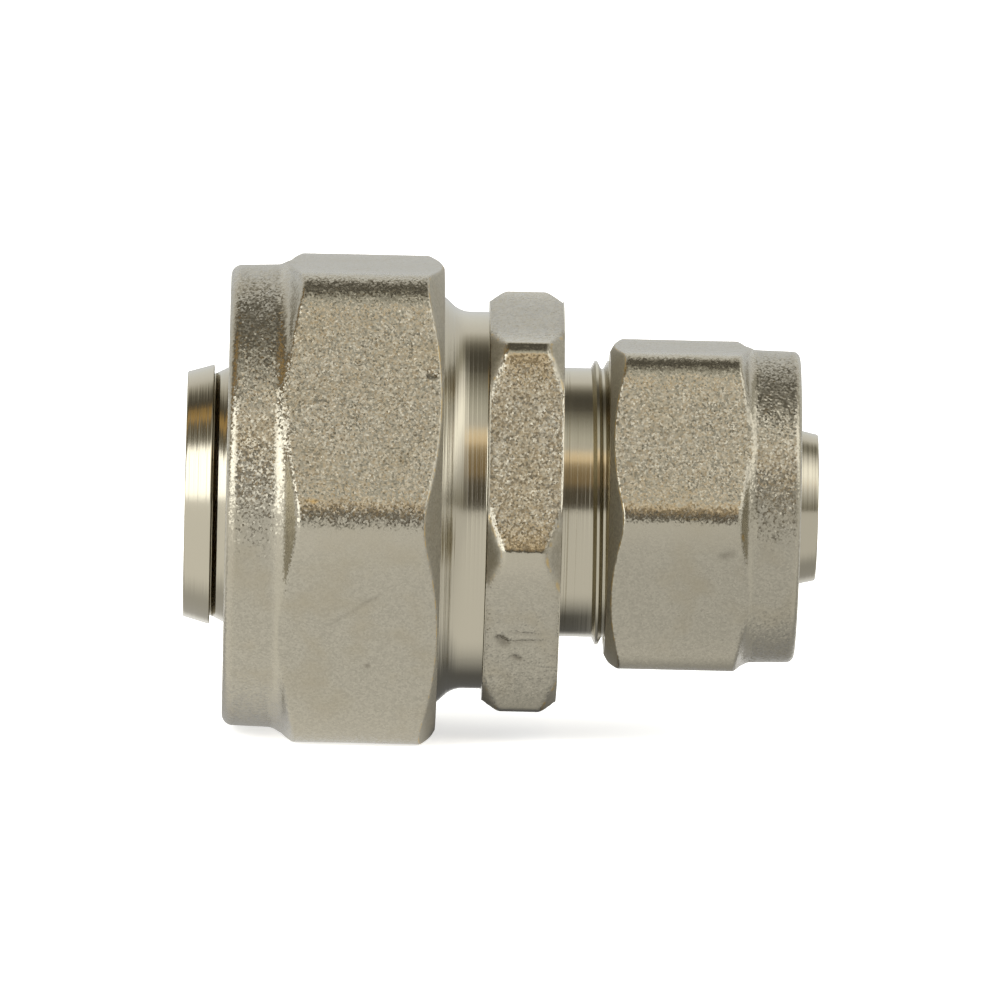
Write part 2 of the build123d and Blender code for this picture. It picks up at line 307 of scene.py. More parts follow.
@dataclass(frozen=True)
class TurnedBrass:
    """Bare brass as it comes off the lathe: yellow and bright, with feed lines and a brown film in places."""

    name: str = "turned_bare_brass"
    metal: str = "#C9A55A"
    film: str = "#9C7838"
    line_mm: float = 0.15
    line_height_mm: float = 0.004
    film_mm: float = 3.0
    roughness: float = 0.24

    def material(self) -> bpy.types.Material:
        """Builds the brass."""
        material, tree = new_material(self.name)
        place = add_node(tree, "ShaderNodeMapping", {
            "Vector": add_node(tree, "ShaderNodeTexCoord").outputs["Object"],
            "Scale": (1 / MM, 1 / MM, 1 / MM),
        }).outputs["Vector"]
        along = add_node(tree, "ShaderNodeMapping", {"Vector": place, "Scale": (1.0, 0.05, 0.05)})
        lines = add_node(tree, "ShaderNodeTexNoise", {
            "Vector": along.outputs["Vector"], "Scale": 1 / self.line_mm, "Detail": 2.0,
        })
        film = add_node(tree, "ShaderNodeTexNoise", {"Vector": place, "Scale": 1 / self.film_mm, "Detail": 4.0})
        colour = add_node(tree, "ShaderNodeMix", {
            "Factor": film.outputs["Fac"], 6: linear(self.metal), 7: linear(self.film),
        }, data_type="RGBA")
        normal = add_node(tree, "ShaderNodeBump", {
            "Height": lines.outputs["Fac"], "Distance": self.line_height_mm * MM,
        })
        shader = add_node(tree, "ShaderNodeBsdfPrincipled", {
            "Base Color": colour.outputs[2],
            "Metallic": 1.0,
            "Roughness": self.roughness,
            "Normal": normal.outputs["Normal"],
        })
        add_node(tree, "ShaderNodeOutputMaterial", {"Surface": shader.outputs["BSDF"]})
        return material


@dataclass(frozen=True)
class MouldedPolymer:
    """Moulded or pressed polymer: a plain colour with a fine uneven skin and a little dust or cloudiness."""

    name: str
    colour: str
    bloom: str
    roughness: float
    skin_mm: float = 0.25
    skin_height_mm: float = 0.008
    bloom_mm: float = 1.6

    def material(self) -> bpy.types.Material:
        """Builds the polymer."""
        material, tree = new_material(self.name)
        place = add_node(tree, "ShaderNodeMapping", {
            "Vector": add_node(tree, "ShaderNodeTexCoord").outputs["Object"],
            "Scale": (1 / MM, 1 / MM, 1 / MM),
        }).outputs["Vector"]
        skin = add_node(tree, "ShaderNodeTexNoise", {"Vector": place, "Scale": 1 / self.skin_mm, "Detail": 2.0})
        bloom = add_node(tree, "ShaderNodeTexNoise", {"Vector": place, "Scale": 1 / self.bloom_mm, "Detail": 4.0})
        colour = add_node(tree, "ShaderNodeMix", {
            "Factor": bloom.outputs["Fac"], 6: linear(self.colour), 7: linear(self.bloom),
        }, data_type="RGBA")
        normal = add_node(tree, "ShaderNodeBump", {
            "Height": skin.outputs["Fac"], "Distance": self.skin_height_mm * MM,
        })
        shader = add_node(tree, "ShaderNodeBsdfPrincipled", {
            "Base Color": colour.outputs[2],
            "Roughness": self.roughness,
            "Normal": normal.outputs["Normal"],
        })
        add_node(tree, "ShaderNodeOutputMaterial", {"Surface": shader.outputs["BSDF"]})
        return material


def soft_min(a: np.ndarray, b: np.ndarray, width: np.ndarray) -> np.ndarray:
    """Lesser of two values, with the corner between them rounded off.

    Args:
        a: First values.
        b: Second values.
        width: Difference at which the rounding begins.

    Returns:
        The rounded lesser values.
    """
    near = np.maximum(width - np.abs(a - b), 0.0) / width
    return np.minimum(a, b) - near ** 2 * width / 4


def soften(outline: list[Point], radius: float, steps: int = 3) -> list[Point]:
    """Rounds the corners of an open outline, and adds a point beside each so that smooth shading stays there.

    Args:
        outline: Corner points.
        radius: Length cut from both sides of a corner, less where the sides are short.
        steps: Spans that make one rounded corner.

    Returns:
        The outline's new points.
    """
    points = [np.array(p, float) for p in outline]
    out = [points[0]]
    for before, corner, after in zip(points, points[1:], points[2:]):
        back, ahead = before - corner, after - corner
        bend = math.atan2(back[0] * ahead[1] - back[1] * ahead[0], -float(back @ ahead))
        if abs(bend) < math.radians(15):
            out.append(corner)
            continue
        cut = min(radius, 0.3 * np.linalg.norm(back), 0.3 * np.linalg.norm(ahead))
        back, ahead = cut * back / np.linalg.norm(back), cut * ahead / np.linalg.norm(ahead)
        out.append(corner + 1.5 * back)
        for t in np.linspace(0.0, 1.0, steps + 1):
            out.append(corner + (1 - t) ** 2 * back + t ** 2 * ahead)
        out.append(corner + 1.5 * ahead)
    out.append(points[-1])
    return [(float(p[0]), float(p[1])) for p in out]


@dataclass(frozen=True)
class Hexagon:
    """Hexagon with rounded corners round the X axis, its flats facing up and down before it is turned."""

    apothem: float
    corner_radius: float
    turn_deg: float = 0.0
    corner: Corner = Corner.ROUND
    flat_drop: float = 0.05
    flat_edge: float = 0.12

    @property
    def corner_centre(self) -> float:
        """Distance from the axis to the middle of a corner's rounding."""
        return (self.apothem - self.corner_radius) / math.cos(math.radians(30))

    @property
    def corner_limit(self) -> float:
        """Half the angle that a corner's rounding takes up, seen from the axis."""
        rise = self.corner_radius * math.sin(math.radians(30))
        return math.atan2(rise, self.corner_centre + self.corner_radius * math.cos(math.radians(30)))

    @property
    def reach(self) -> float:
        """Distance from the axis to the top of a rounded corner."""
        return self.corner_centre + self.corner_radius

    def radius(self, angles: np.ndarray) -> np.ndarray:
        """Distance from the axis to the hexagon.

        Args:
            angles: Angles from +Y towards +Z, in radians.

        Returns:
            One distance for each angle.
        """
        sector = math.radians(60)
        off = np.abs((angles - math.radians(self.turn_deg) + sector / 2) % sector - sector / 2)
        inside = np.maximum(self.corner_radius ** 2 - (self.corner_centre * np.sin(off)) ** 2, 0.0)
        corner = self.corner_centre * np.cos(off) + np.sqrt(inside)
        side = self.apothem / np.cos(sector / 2 - off)
        if self.corner is Corner.FLAT:
            return soft_min(side, (self.reach - self.flat_drop) / np.cos(off), np.array(self.flat_edge))
        return np.where(off < self.corner_limit, corner, side)

    def roundness(self, angles: np.ndarray) -> np.ndarray:
        """How far round a corner each place is.

        Args:
            angles: Angles from +Y towards +Z, in radians.

        Returns:
            Values from 0 on a flat to 1 on top of a corner.
        """
        return np.clip((self.radius(angles) / self.apothem - 1) / (self.reach / self.apothem - 1), 0.0, 1.0) ** 2

    def columns(self, corner_steps: int, flat_steps: int) -> np.ndarray:
        """Angles of a mesh's columns, closer together over the corners.

        Args:
            corner_steps: Spans across one corner.
            flat_steps: Spans across one flat.

        Returns:
            Angles from +Y towards +Z, in radians.
        """
        sector, half = math.radians(60), 1.2 * self.corner_limit
        one = np.concatenate([
            np.linspace(-half, half, corner_steps, endpoint=False),
            np.linspace(half, sector - half, flat_steps, endpoint=False),
        ])
        return np.concatenate([one + k * sector for k in range(6)]) + math.radians(self.turn_deg)


@dataclass(frozen=True)
class Nick:
    """Shallow knock in a flat: a groove across the surface at one place, in millimetres and degrees."""

    x: float
    angle_deg: float
    length: float
    width: float
    depth: float
    slant_deg: float
    worn: float = 0.0
    # Share of dark brown painted in: painted shade in the knock's hollow, together with grime
    knock_shade_and_grime: float = 0.0

    def mask(self, x: np.ndarray, angles: np.ndarray, radius: float) -> np.ndarray:
        """Share of the nick's depth at each place.

        Args:
            x: Places along the axis.
            angles: Angles from +Y towards +Z, in radians.
            radius: Distance of the surface from the axis.

        Returns:
            Values from 0, outside the nick, to 1 along its middle.
        """
        across = radius * np.tan(np.clip(angles - math.radians(self.angle_deg), -0.7, 0.7))
        slant = math.radians(self.slant_deg)
        u = (x - self.x) * math.cos(slant) + across * math.sin(slant)
        v = across * math.cos(slant) - (x - self.x) * math.sin(slant)
        return np.exp(-(2 * u / self.length) ** 4 - (2 * v / self.width) ** 2)

    def columns(self, radius: float) -> np.ndarray:
        """Extra mesh columns over the nick, on a surface at that distance from the axis."""
        slant = math.radians(self.slant_deg)
        reach = self.length / 2 * abs(math.sin(slant)) + self.width * abs(math.cos(slant))
        half = math.degrees(math.atan2(reach, radius))
        count = max(6, int(reach / 0.06))
        return np.radians(np.linspace(self.angle_deg - half, self.angle_deg + half, count))


class RingMesh:
    """Closed ring of faces round the X axis: its rows follow the section, and its columns go round."""

    def __init__(self, angles: np.ndarray) -> None:
        """Starts with no rows.

        Args:
            angles: Angles of the columns from +Y towards +Z, in radians.
        """
        self.angles = np.unique(np.round(angles % (2 * math.pi), 6))
        self.rows: list[tuple[np.ndarray, ...]] = []

    def add_row(self, x: float, radius: float | np.ndarray, turned: float | np.ndarray = 1.0,
                worn: float | np.ndarray = 0.0, nicks: tuple[Nick, ...] = (), apothem: float = 1.0) -> None:
        """Adds one row all the way round, with the knocks that reach it.

        Args:
            x: Place along the axis, in millimetres.
            radius: Distance from the axis, one for the row or one for each column.
            turned: 1 where the face was turned, 0 where it was forged and less where it is dull.
            worn: 1 where the plate is rubbed off.
            nicks: Knocks in the flats.
            apothem: Distance from the axis to the flats.
        """
        # Dark brown painted into the knocks: painted shade in their hollows, together with grime
        knock_shade_and_grime = 0.0
        for nick in nicks:
            mask = nick.mask(x, self.angles, apothem)
            radius = radius - nick.depth * mask
            worn, knock_shade_and_grime = np.maximum(worn, nick.worn * mask), np.maximum(knock_shade_and_grime, nick.knock_shade_and_grime * mask)
        values = (x, radius, turned, worn, knock_shade_and_grime)
        self.rows.append(tuple(np.broadcast_to(np.asarray(v, float), len(self.angles)) for v in values))

    def add_outline(self, outline: list[Point], turned: float = 1.0) -> None:
        """Adds a row for each point of an outline of revolution.

        Args:
            outline: Places along the axis and distances from it.
            turned: 1 where the face was turned and 0 where it was forged.
        """
        for x, radius in outline:
            self.add_row(x, radius, turned)

    def unevenness(self, depth: float, size: float) -> None:
        """Lowers forged faces a little and unevenly, as a forging die leaves them.

        Args:
            depth: Greatest depth, in millimetres.
            size: Width of one hollow, in millimetres.
        """
        for i, (x, radius, turned, *marks) in enumerate(self.rows):
            if turned.min() > 0.5:
                continue
            y, z = radius * np.cos(self.angles), radius * np.sin(self.angles)
            waves = [noise.noise(Vector((a, b, c)) / size) for a, b, c in zip(x, y, z)]
            sunk = depth * (0.5 - 0.5 * np.array(waves)) * np.minimum(1 - turned, 1.0)
            self.rows[i] = (x, radius - sunk, turned, *marks)

    def build(self, name: str, material: bpy.types.Material) -> bpy.types.Object:
        """Makes the object, with its faces outward and the attributes "turned", "worn" and the one for painted shade
        and grime in knocks.

        Args:
            name: Name of the object.
            material: Material of all its faces.

        Returns:
            The new object, linked to the scene.
        """
        x, radius, *marks = (np.array(values) for values in zip(*self.rows))
        y, z = radius * np.cos(self.angles), radius * np.sin(self.angles)
        points = np.stack([x, y, z], axis=-1) * MM
        row_count, column_count = x.shape
        i, j = np.meshgrid(np.arange(row_count), np.arange(column_count), indexing="ij")
        below, beside = (i + 1) % row_count, (j + 1) % column_count
        corners = [i * column_count + j, i * column_count + beside,
                   below * column_count + beside, below * column_count + j]
        faces = np.stack([c.ravel() for c in corners], axis=-1)
        flat = points.reshape(-1, 3)
        a, b, c, d = (flat[faces[:, k]] for k in range(4))
        volume = np.einsum("ij,ij->", a, np.cross(b, c)) + np.einsum("ij,ij->", a, np.cross(c, d))
        if volume < 0:
            faces = faces[:, ::-1]
        mesh = bpy.data.meshes.new(name)
        mesh.from_pydata(flat.tolist(), [], faces.tolist())
        mesh.validate()
        for label, values in zip(("turned", "worn", "knock_shade_and_grime"), marks):
            mesh.attributes.new(label, "FLOAT", "POINT").data.foreach_set("value", values.ravel())
        mesh.polygons.foreach_set("use_smooth", [True] * len(mesh.polygons))
        mesh.materials.append(material)
        return link(bpy.data.objects.new(name, mesh))


def link(piece: bpy.types.Object) -> bpy.types.Object:
    """Puts an object in the scene and returns it."""
    bpy.context.scene.collection.objects.link(piece)
    return piece


def dress(piece: bpy.types.Object, body: str, slot: Slot, *nodes: str) -> None:
    """Ties a finished piece to the frame.

    Args:
        piece: The piece, at the origin.
        body: Body that it moves with.
        slot: Material slot of the record; not used.
        nodes: CAD nodes that it stands for.
    """
    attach(piece, body)
    if nodes:
        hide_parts(*nodes)
    LOG.info("%s: %d faces, rides on %s", piece.name, len(piece.data.polygons), body)


class ThreadTree:
    """Geometry nodes that sweep a thread's ridge along a right-hand helix round the X axis."""

    INPUTS = (
        ("Start", "NodeSocketFloat"),
        ("Root Radius", "NodeSocketFloat"),
        ("Depth", "NodeSocketFloat"),
        ("Pitch", "NodeSocketFloat"),
        ("Turns", "NodeSocketFloat"),
        ("Fade Turns", "NodeSocketFloat"),
        ("Root Width", "NodeSocketFloat"),
        ("Crest Width", "NodeSocketFloat"),
        ("Buried", "NodeSocketFloat"),
        ("Phase", "NodeSocketFloat"),
        ("Steps", "NodeSocketInt"),
        ("Finish", "NodeSocketMaterial"),
    )

    def __init__(self) -> None:
        """Builds the tree."""
        self.tree = bpy.data.node_groups.new("screw_thread", "GeometryNodeTree")
        face = self.tree.interface
        face.new_socket("Thread", in_out="OUTPUT", socket_type="NodeSocketGeometry")
        self.ids = {
            name: face.new_socket(name, in_out="INPUT", socket_type=kind).identifier for name, kind in self.INPUTS
        }
        size = add_node(self.tree, "NodeGroupInput").outputs
        height = self.maths("MULTIPLY", size["Pitch"], size["Turns"])
        helix = add_node(self.tree, "GeometryNodeCurveSpiral", {
            "Resolution": size["Steps"],
            "Rotations": size["Turns"],
            "Start Radius": size["Root Radius"],
            "End Radius": size["Root Radius"],
            "Height": height,
            "Reverse": True,
        })
        upright = add_node(self.tree, "GeometryNodeSetCurveNormal", {"Curve": helix.outputs["Curve"]}, mode="Z_UP")
        # The ridge grows from nothing at both ends of the helix
        share = add_node(self.tree, "GeometryNodeSplineParameter").outputs["Factor"]
        from_start = self.maths("MULTIPLY", share, size["Turns"])
        from_end = self.maths("SUBTRACT", size["Turns"], from_start)
        nearest = self.maths("DIVIDE", self.maths("MINIMUM", from_start, from_end), size["Fade Turns"])
        grown = self.maths("MAXIMUM", self.maths("MINIMUM", nearest, 1.0), 0.02)
        # Section of the ridge, from a foot buried in the wall to its crest
        slope = self.maths("DIVIDE", self.maths("SUBTRACT", size["Root Width"], size["Crest Width"]), size["Depth"])
        foot = self.maths("MULTIPLY_ADD", slope, size["Buried"], size["Root Width"])
        half_foot, half_crest = self.maths("DIVIDE", foot, 2.0), self.maths("DIVIDE", size["Crest Width"], 2.0)
        sunk = self.maths("MULTIPLY", size["Buried"], -1.0)
        section = add_node(self.tree, "GeometryNodeCurvePrimitiveQuadrilateral", {
            "Point 1": self.point(sunk, self.maths("MULTIPLY", half_foot, -1.0)),
            "Point 2": self.point(sunk, half_foot),
            "Point 3": self.point(size["Depth"], half_crest),
            "Point 4": self.point(size["Depth"], self.maths("MULTIPLY", half_crest, -1.0)),
        }, mode="POINTS")
        ridge = add_node(self.tree, "GeometryNodeCurveToMesh", {
            "Curve": upright.outputs["Curve"],
            "Profile Curve": section.outputs["Curve"],
            "Scale": grown,
            "Fill Caps": True,
        })
        outward = add_node(self.tree, "GeometryNodeFlipFaces", {"Mesh": ridge.outputs["Mesh"]})
        turned = add_node(self.tree, "GeometryNodeStoreNamedAttribute", {
            "Geometry": outward.outputs["Mesh"], "Name": "turned", "Value": 1.0,
        }, data_type="FLOAT", domain="POINT")
        # The helix is made round Z, turned to its phase and laid along X
        phased = add_node(self.tree, "GeometryNodeTransform", {
            "Geometry": turned.outputs["Geometry"],
            "Rotation": self.point(0.0, 0.0, size["Phase"]),
        })
        laid = add_node(self.tree, "GeometryNodeTransform", {
            "Geometry": phased.outputs["Geometry"],
            "Translation": self.point(size["Start"], 0.0),
            "Rotation": (0.0, math.radians(90), 0.0),
        })
        real = add_node(self.tree, "GeometryNodeRealizeInstances", {"Geometry": laid.outputs["Geometry"]})
        plated = add_node(self.tree, "GeometryNodeSetMaterial", {
            "Geometry": real.outputs["Geometry"], "Material": size["Finish"],
        })
        add_node(self.tree, "NodeGroupOutput", {0: plated.outputs["Geometry"]})

    def maths(self, operation: str, *values: float | bpy.types.NodeSocket) -> bpy.types.NodeSocket:
        """Adds a sum and returns its output.

        Args:
            operation: Blender's name for the sum.
            values: Numbers or sockets, in the sum's order.

        Returns:
            The socket that holds the result.
        """
        return add_node(self.tree, "ShaderNodeMath", dict(enumerate(values)), operation=operation).outputs[0]

    def point(self, *values: float | bpy.types.NodeSocket) -> bpy.types.NodeSocket:
        """Adds a vector and returns its output.

        Args:
            values: Numbers or sockets for X, Y and Z; the last may be left out.

        Returns:
            The socket that holds the vector.
        """
        return add_node(self.tree, "ShaderNodeCombineXYZ", dict(enumerate(values))).outputs[0]

    def make(self, name: str, **sizes) -> bpy.types.Object:
        """Makes one thread as a plain mesh.

        Args:
            name: Name of the object.
            sizes: A value for each of the tree's inputs, with underscores for spaces; lengths in metres.

        Returns:
            The new object, linked to the scene.
        """
        carrier = link(bpy.data.objects.new(name + "_carrier", bpy.data.meshes.new(name + "_carrier")))
        modifier = carrier.modifiers.new("thread", "NODES")
        modifier.node_group = self.tree
        for key, value in sizes.items():
            modifier[self.ids[key.replace("_", " ").title()]] = value
        made = bpy.data.meshes.new_from_object(carrier.evaluated_get(bpy.context.evaluated_depsgraph_get()))
        bpy.data.objects.remove(carrier)
        made.name = name
        made.polygons.foreach_set("use_smooth", [True] * len(made.polygons))
        made.set_sharp_from_angle(angle=math.radians(25))
        return link(bpy.data.objects.new(name, made))


@dataclass(frozen=True)
class Thread:
    """Sizes of one end's screw thread, in millimetres."""

    pitch: float
    depth: float
    clearance: float
    fade_turns: float

    def outside(self, tree: ThreadTree, name: str, low: float, high: float, crest_r: float,
                finish: bpy.types.Material) -> bpy.types.Object:
        """Makes the male thread of a barrel.

        Args:
            tree: Geometry nodes that sweep the ridge.
            name: Name of the object.
            low: Least X of the ridge.
            high: Greatest X of the ridge.
            crest_r: Distance from the axis to the crest.
            finish: Material of the ridge.

        Returns:
            The new object.
        """
        return tree.make(
            name, start=low * MM, root_radius=(crest_r - self.depth) * MM, depth=self.depth * MM,
            pitch=self.pitch * MM, turns=(high - low) / self.pitch, fade_turns=self.fade_turns,
            root_width=0.8 * self.pitch * MM, crest_width=0.2 * self.pitch * MM, buried=0.15 * MM,
            phase=self.phase(low), steps=96, finish=finish,
        )

    def inside(self, tree: ThreadTree, name: str, low: float, high: float, root_r: float,
               finish: bpy.types.Material) -> bpy.types.Object:
        """Makes the female thread of a nut, half a pitch from the male one.

        Args:
            tree: Geometry nodes that sweep the ridge.
            name: Name of the object.
            low: Least X of the ridge.
            high: Greatest X of the ridge.
            root_r: Distance from the axis to the nut's bore, where the ridge stands.
            finish: Material of the ridge.

        Returns:
            The new object.
        """
        return tree.make(
            name, start=low * MM, root_radius=root_r * MM, depth=-(self.depth - self.clearance) * MM,
            pitch=self.pitch * MM, turns=(high - low) / self.pitch, fade_turns=self.fade_turns,
            root_width=-0.66 * self.pitch * MM, crest_width=-0.16 * self.pitch * MM, buried=-0.15 * MM,
            phase=self.phase(low + self.pitch / 2), steps=96, finish=finish,
        )

    def phase(self, start: float) -> float:
        """Angle at which a ridge that begins at start lies on the one helix that passes through X = 0."""
        return 2 * math.pi * start / self.pitch + math.radians(90)


@dataclass(frozen=True)
class EndSizes:
    """Driving sizes of one end, in millimetres. Lengths run outward from the body hexagon's face."""

    name: str
    side: Side
    pipe_od: float
    pipe_wall: float
    socket_floor: float
    neck_length: float
    neck_drop: float
    runout_radius: float
    thread_start: float
    barrel_length: float
    barrel_wall: float
    barrel_chamfer: float
    mouth_rise: float
    seal_section: float
    seal_proud: float
    seal_spacing: float
    groove_wall: float
    grip_length: float
    barb_pitch: float
    barb_rise: float
    barb_depth: float
    nose_length: float
    nose_drop: float
    spigot_proud: float
    nut_gap: float
    nut_end_wall: float
    nut_wall: float
    nut_countersink: float
    nut_corner_radius: float
    nut_corner_polish: float
    nut_face_inset: float
    collar_length: float
    collar_drop: float
    collar_blend: float
    rim_radius: float
    hole_chamfer: float
    thread: Thread
    nut_nicks: tuple[Nick, ...] = ()
    pipe_clearance: float = 0.2
    thread_clearance: float = 0.15

    @property
    def node(self) -> str:
        """Name of the end's nut among the CAD nodes and bodies."""
        return f"{self.name}_nut"

    @property
    def land_r(self) -> float:
        """Distance from the axis to the spigot's plain land."""
        return self.pipe_od / 2 - self.pipe_wall

    @property
    def groove_r(self) -> float:
        """Distance from the axis to the floor of the seals' grooves."""
        return self.land_r + self.seal_proud - self.seal_section

    @property
    def waterway_r(self) -> float:
        """Distance from the axis to the waterway's wall."""
        return self.groove_r - self.groove_wall

    @property
    def socket_r(self) -> float:
        """Distance from the axis to the socket's wall."""
        return self.pipe_od / 2 + self.pipe_clearance

    @property
    def thread_r(self) -> float:
        """Distance from the axis to the male thread's crest."""
        return self.socket_r + self.barrel_wall

    @property
    def bore_r(self) -> float:
        """Distance from the axis to the nut's bore."""
        return self.thread_r + self.thread_clearance

    @property
    def nut_span(self) -> tuple[float, float]:
        """X of the nut's mouth and of its pipe end, from the frame."""
        low, high = node_box(self.node)
        ends = (low[0], high[0])
        return ends if self.side is Side.SMALL else ends[::-1]

    @property
    def face(self) -> float:
        """X of the body hexagon's face on this side."""
        return self.nut_span[0] - self.side.value * self.nut_gap

    @property
    def nut_length(self) -> float:
        """Length of the nut."""
        return abs(self.nut_span[1] - self.nut_span[0])

    @property
    def tip(self) -> float:
        """Length from the hexagon's face to the spigot's tip."""
        return self.nut_gap + self.nut_length + self.spigot_proud

    def place(self, outline: list[Point]) -> list[Point]:
        """Moves an outline from this end's own lengths to X.

        Args:
            outline: Points that run outward from the hexagon's face.

        Returns:
            The same points along X.
        """
        return [(self.face + self.side.value * x, r) for x, r in outline]


@dataclass
class UnionNut:
    """Forged union nut: a hexagon with a turned mouth, blended into a round collar at the pipe side."""

    end: EndSizes
    plate: bpy.types.Material
    chamfer_deg: float = 28.0
    blend_deg: float = 64.0
    chamfer_edge: float = 0.25
    chamfer_polish: float = -2.3
    blend_polish: float = 0.5
    draft_deg: float = 1.6
    turned_edge: float = 0.12
    forged_depth: float = 0.05
    forged_size: float = 4.5

    def envelope(self, x: np.ndarray) -> tuple[np.ndarray, np.ndarray]:
        """Turned outlines that trim the hexagon.

        Args:
            x: Places from the mouth towards the pipe.

        Returns:
            Distances from the axis to the mouth's cone, and to the blend and collar.
        """
        end, blend = self.end, math.radians(self.blend_deg)
        cone = self.face_r + x / math.tan(math.radians(self.chamfer_deg))
        start = self.nut_length - end.collar_length
        arc_x = start - end.collar_blend * math.sin(blend)
        arc_r = self.collar_r + end.collar_blend * (1 - math.cos(blend))
        line = arc_r + (arc_x - x) * math.tan(blend)
        inside = np.maximum(end.collar_blend ** 2 - (start - x) ** 2, 0.0)
        arc = self.collar_r + end.collar_blend - np.sqrt(inside)
        collar = self.collar_r - (x - start) * math.tan(math.radians(self.draft_deg))
        return cone, np.where(x > start, collar, np.where(x > arc_x, arc, line))

    @property
    def nut_length(self) -> float:
        """Length of the nut."""
        return self.end.nut_length

    @property
    def apothem(self) -> float:
        """Distance from the axis to a flat, from the frame."""
        return node_box(self.end.node)[1][2]

    @property
    def face_r(self) -> float:
        """Distance from the axis to the outer edge of the mouth's face."""
        return self.apothem - self.end.nut_face_inset

    @property
    def collar_r(self) -> float:
        """Distance from the axis to the collar."""
        return self.apothem - self.end.collar_drop

    def build(self) -> bpy.types.Object:
        """Makes the nut's mesh.

        Returns:
            The new object.
        """
        end, length = self.end, self.nut_length
        hexagon = Hexagon(self.apothem, end.nut_corner_radius)
        columns = [hexagon.columns(14, 26)] + [nick.columns(self.apothem) for nick in end.nut_nicks]
        ring = RingMesh(np.concatenate(columns))
        flat_r = hexagon.radius(ring.angles)
        mouth_x = end.nut_span[0]
        hole_r, bore_r, sink = end.socket_r, end.bore_r, end.nut_countersink
        bore_end = end.barrel_length - end.nut_gap + 0.5
        inside = [
            (length, self.collar_r - 0.15 - end.rim_radius),
            (length, hole_r + end.hole_chamfer),
            (length - end.hole_chamfer, hole_r),
            (length - end.nut_end_wall, hole_r),
            (bore_end, bore_r),
            (sink, bore_r),
            (0.0, bore_r + sink),
            (0.0, self.face_r),
        ]
        at = end.side.value
        ring.add_outline([(mouth_x + at * x, r) for x, r in soften(inside, self.turned_edge)])
        # Outside, from the mouth's cone over the flats and the blend to the rim
        chamfer_end = (hexagon.reach - self.face_r) * math.tan(math.radians(self.chamfer_deg)) + 0.25
        collar_start = length - end.collar_length
        blend_start = collar_start - end.collar_blend - (hexagon.reach - self.collar_r) / 2
        outside = np.concatenate([
            np.linspace(0.03, chamfer_end, 24, endpoint=False),
            np.linspace(chamfer_end, blend_start, 48, endpoint=False),
            np.linspace(blend_start, collar_start, 44, endpoint=False),
            np.linspace(collar_start, length - end.rim_radius, 8, endpoint=False),
        ])
        for x in outside:
            cone, blend = self.envelope(np.array(x))
            blend_edge = np.clip(0.8 * (blend - self.collar_r), 0.05, 0.5)
            forged = soft_min(flat_r, blend, blend_edge)
            radius = soft_min(forged, cone, self.chamfer_edge)
            on_cone = np.clip(0.5 + (forged - cone) / self.chamfer_edge, 0.0, 1.0)
            on_blend = np.clip((flat_r - blend) / blend_edge, 0.0, 1.0) * np.clip((blend - self.collar_r) / 0.1, 0.0, 1.0)
            on_corner = hexagon.roundness(ring.angles) * (blend > self.collar_r)
            polish = np.maximum(self.blend_polish * on_blend, end.nut_corner_polish * on_corner)
            turned = polish + (self.chamfer_polish - polish) * on_cone
            worn = np.clip(1 - np.abs(forged - cone) / (0.9 * self.chamfer_edge), 0.0, 1.0)
            ring.add_row(mouth_x + at * x, radius, turned, worn, end.nut_nicks, self.apothem)
        rim_r = float(self.envelope(np.array(length - end.rim_radius))[1])
        for angle in np.linspace(0.0, math.radians(90), 9, endpoint=False):
            x = length - end.rim_radius * (1 - math.sin(angle))
            radius = rim_r - end.rim_radius * (1 - math.cos(angle))
            ring.add_row(mouth_x + at * x, radius, self.blend_polish * math.sin(2 * angle))
        ring.unevenness(self.forged_depth, self.forged_size)
        piece = ring.build(f"{end.name}_union_nut", self.plate)
        dress(piece, end.node, Slot.PLATED, end.node)
        return piece

    def build_thread(self, tree: ThreadTree) -> bpy.types.Object:
        """Makes the thread inside the nut.

        Args:
            tree: Geometry nodes that sweep the ridge.

        Returns:
            The new object.
        """
        end = self.end
        bore_end = end.barrel_length - end.nut_gap + 0.5
        ends = [end.nut_span[0] + end.side.value * x for x in (end.nut_countersink, bore_end - 1.0)]
        piece = end.thread.inside(tree, f"{end.name}_nut_thread", min(ends), max(ends), end.bore_r, self.plate)
        dress(piece, end.node, Slot.PLATED)
        return piece


